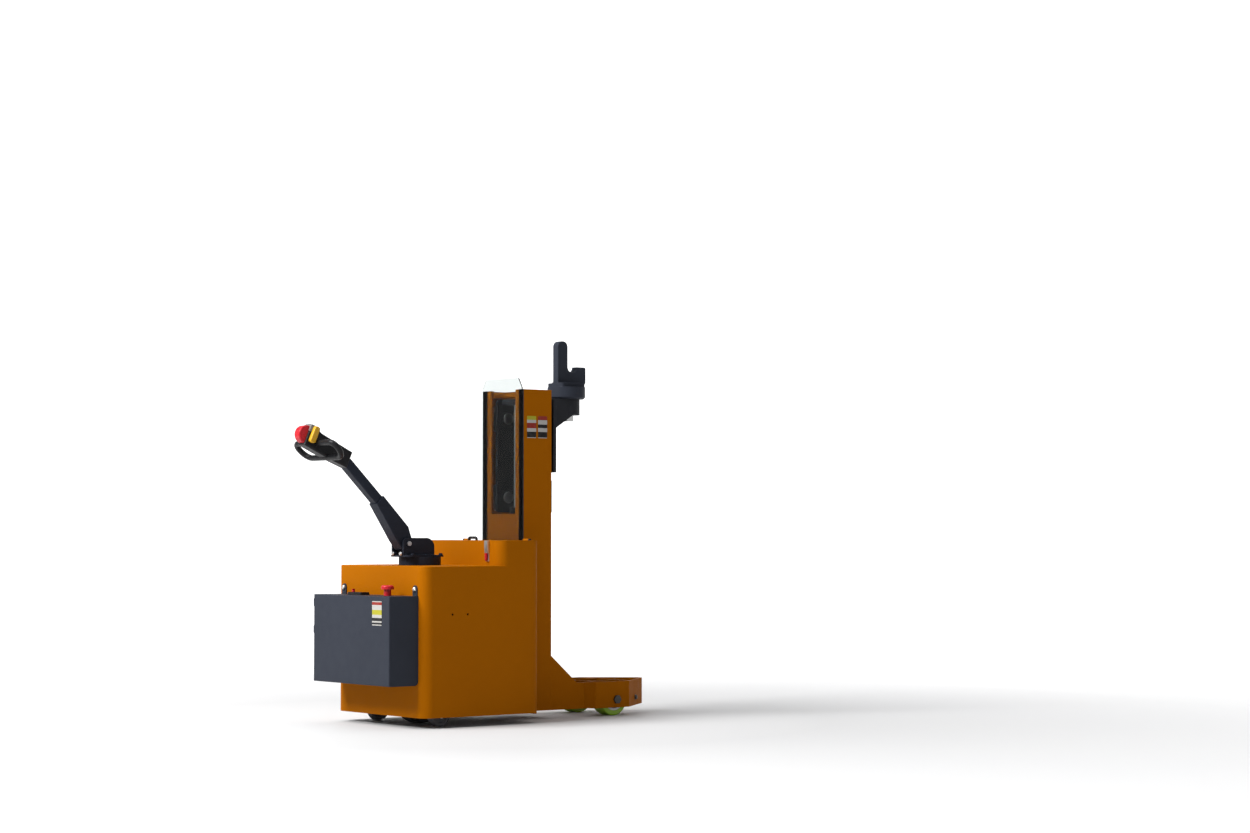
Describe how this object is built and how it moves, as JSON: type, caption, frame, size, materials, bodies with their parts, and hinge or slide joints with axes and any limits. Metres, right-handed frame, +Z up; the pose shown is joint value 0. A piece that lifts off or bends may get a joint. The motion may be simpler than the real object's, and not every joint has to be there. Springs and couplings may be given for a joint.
{
  "type": "electric tow tractor",
  "caption": "Pedestrian battery tug with a steering tiller, a mast that lifts a swivelling hook, a pointed foot on load wheels, and a steered drive wheel between castors.",
  "frame": {"origin": "on the floor, in the middle of the overall length and width", "axes": "+X from the tiller towards the hook, +Y to the left seen from the tiller, +Z up"},
  "size_m": [1.8987, 0.7, 1.7335],
  "materials": {
    "orange_paint": "satin powder coat",
    "black_paint": "satin",
    "battery_case": "matt grey coat",
    "plated_steel": "zinc plate",
    "red_plastic": "gloss",
    "yellow_plastic": "satin",
    "slate_paint": "satin powder coat",
    "black_plastic": "fine grain",
    "clear_guard": "clear sheet",
    "edge_rubber": "matt",
    "tiller_paint": "satin",
    "carriage_paint": "satin",
    "roller_steel": "turned",
    "rod_chrome": "polished",
    "wheel_hub": "dark paint",
    "drive_tread": "worn",
    "green_tread": "polyurethane",
    "castor_tread": "polyurethane"
  },
  "bodies": {
    "chassis": {"body_shell": "orange_paint", "chassis_floor": "black_paint", "rear_bulkhead": "orange_paint", "battery_block": "battery_case", "lid_hinges": "plated_steel", "latch_bodies": "plated_steel", "latch_grips": "red_plastic", "front_box": "slate_paint", "estop_button": "red_plastic", "charge_gauge": "black_plastic", "key_switch": "red_plastic", "mast_upright_left": "orange_paint", "mast_upright_right": "orange_paint", "mast_top_bar": "orange_paint", "mast_base_plate": "orange_paint", "mast_guard": "clear_guard", "guard_strips": "edge_rubber", "lift_barrel": "black_paint", "foot_frame": "orange_paint", "load_axle": "plated_steel"},
    "lid": {"battery_lid": "orange_paint", "lid_handle": "black_plastic"},
    "steer": {"steer_base": "tiller_paint", "tilt_pin": "roller_steel", "drive_motor": "black_paint", "drive_fork": "black_paint"},
    "drive_wheel": {"drive_hub": "wheel_hub", "drive_tyre": "drive_tread"},
    "tiller": {"arm_sleeve": "tiller_paint", "arm_tube": "tiller_paint", "tiller_head": "black_plastic", "belly_button": "red_plastic", "throttle_wings": "yellow_plastic", "grip_loops": "black_plastic"},
    "carriage": {"carriage_frame": "carriage_paint", "mast_rollers": "roller_steel", "lift_rod": "rod_chrome"},
    "coupler": {"coupler_turntable": "slate_paint", "kingpin_nut": "plated_steel", "coupler_hook": "slate_paint"},
    "load_wheel_left": {"load_hub_left": "wheel_hub", "load_tyre_left": "green_tread"},
    "load_wheel_right": {"load_hub_right": "wheel_hub", "load_tyre_right": "green_tread"},
    "castor_swivel_left": {"castor_fork_left": "plated_steel"},
    "castor_swivel_right": {"castor_fork_right": "plated_steel"},
    "castor_roller_left": {"castor_wheel_left": "castor_tread"},
    "castor_roller_right": {"castor_wheel_right": "castor_tread"}
  },
  "joints": [
    {"name": "steer_turn", "type": "hinge", "parent": "chassis", "child": "steer", "pos_m": [-0.308, 0, 0.156], "axis": [0, 0, 1], "range_deg": [-90, 90]},
    {"name": "drive_spin", "type": "hinge", "parent": "steer", "child": "drive_wheel", "pos_m": [-0.308, 0, 0.115], "axis": [0, 1, 0], "continuous": true},
    {"name": "tiller_tilt", "type": "hinge", "parent": "steer", "child": "tiller", "pos_m": [-0.399, 0, 0.7965], "axis": [0, 1, 0], "range_deg": [-35, 38]},
    {"name": "mast_lift", "type": "slide", "parent": "chassis", "child": "carriage", "axis": [0, 0, 1], "range_m": [-0.36, 0]},
    {"name": "coupler_turn", "type": "hinge", "parent": "carriage", "child": "coupler", "pos_m": [0.51, 0, 1.464], "axis": [0, 0, 1], "range_deg": [-90, 90]},
    {"name": "lid_open", "type": "hinge", "parent": "chassis", "child": "lid", "pos_m": [0.112, 0, 0.812], "axis": [0, 1, 0], "range_deg": [0, 85]},
    {"name": "load_spin_left", "type": "hinge", "parent": "chassis", "child": "load_wheel_left", "pos_m": [0.661, 0.1305, 0.075], "axis": [0, 1, 0], "continuous": true},
    {"name": "castor_turn_left", "type": "hinge", "parent": "chassis", "child": "castor_swivel_left", "pos_m": [-0.402, 0.24, 0.13], "axis": [0, 0, 1], "continuous": true},
    {"name": "castor_spin_left", "type": "hinge", "parent": "castor_swivel_left", "child": "castor_roller_left", "pos_m": [-0.37, 0.24, 0.05], "axis": [0, 1, 0], "continuous": true},
    {"name": "load_spin_right", "type": "hinge", "parent": "chassis", "child": "load_wheel_right", "pos_m": [0.661, -0.1305, 0.075], "axis": [0, 1, 0], "continuous": true},
    {"name": "castor_turn_right", "type": "hinge", "parent": "chassis", "child": "castor_swivel_right", "pos_m": [-0.402, -0.24, 0.13], "axis": [0, 0, 1], "continuous": true},
    {"name": "castor_spin_right", "type": "hinge", "parent": "castor_swivel_right", "child": "castor_roller_right", "pos_m": [-0.37, -0.24, 0.05], "axis": [0, 1, 0], "continuous": true}
  ]
}
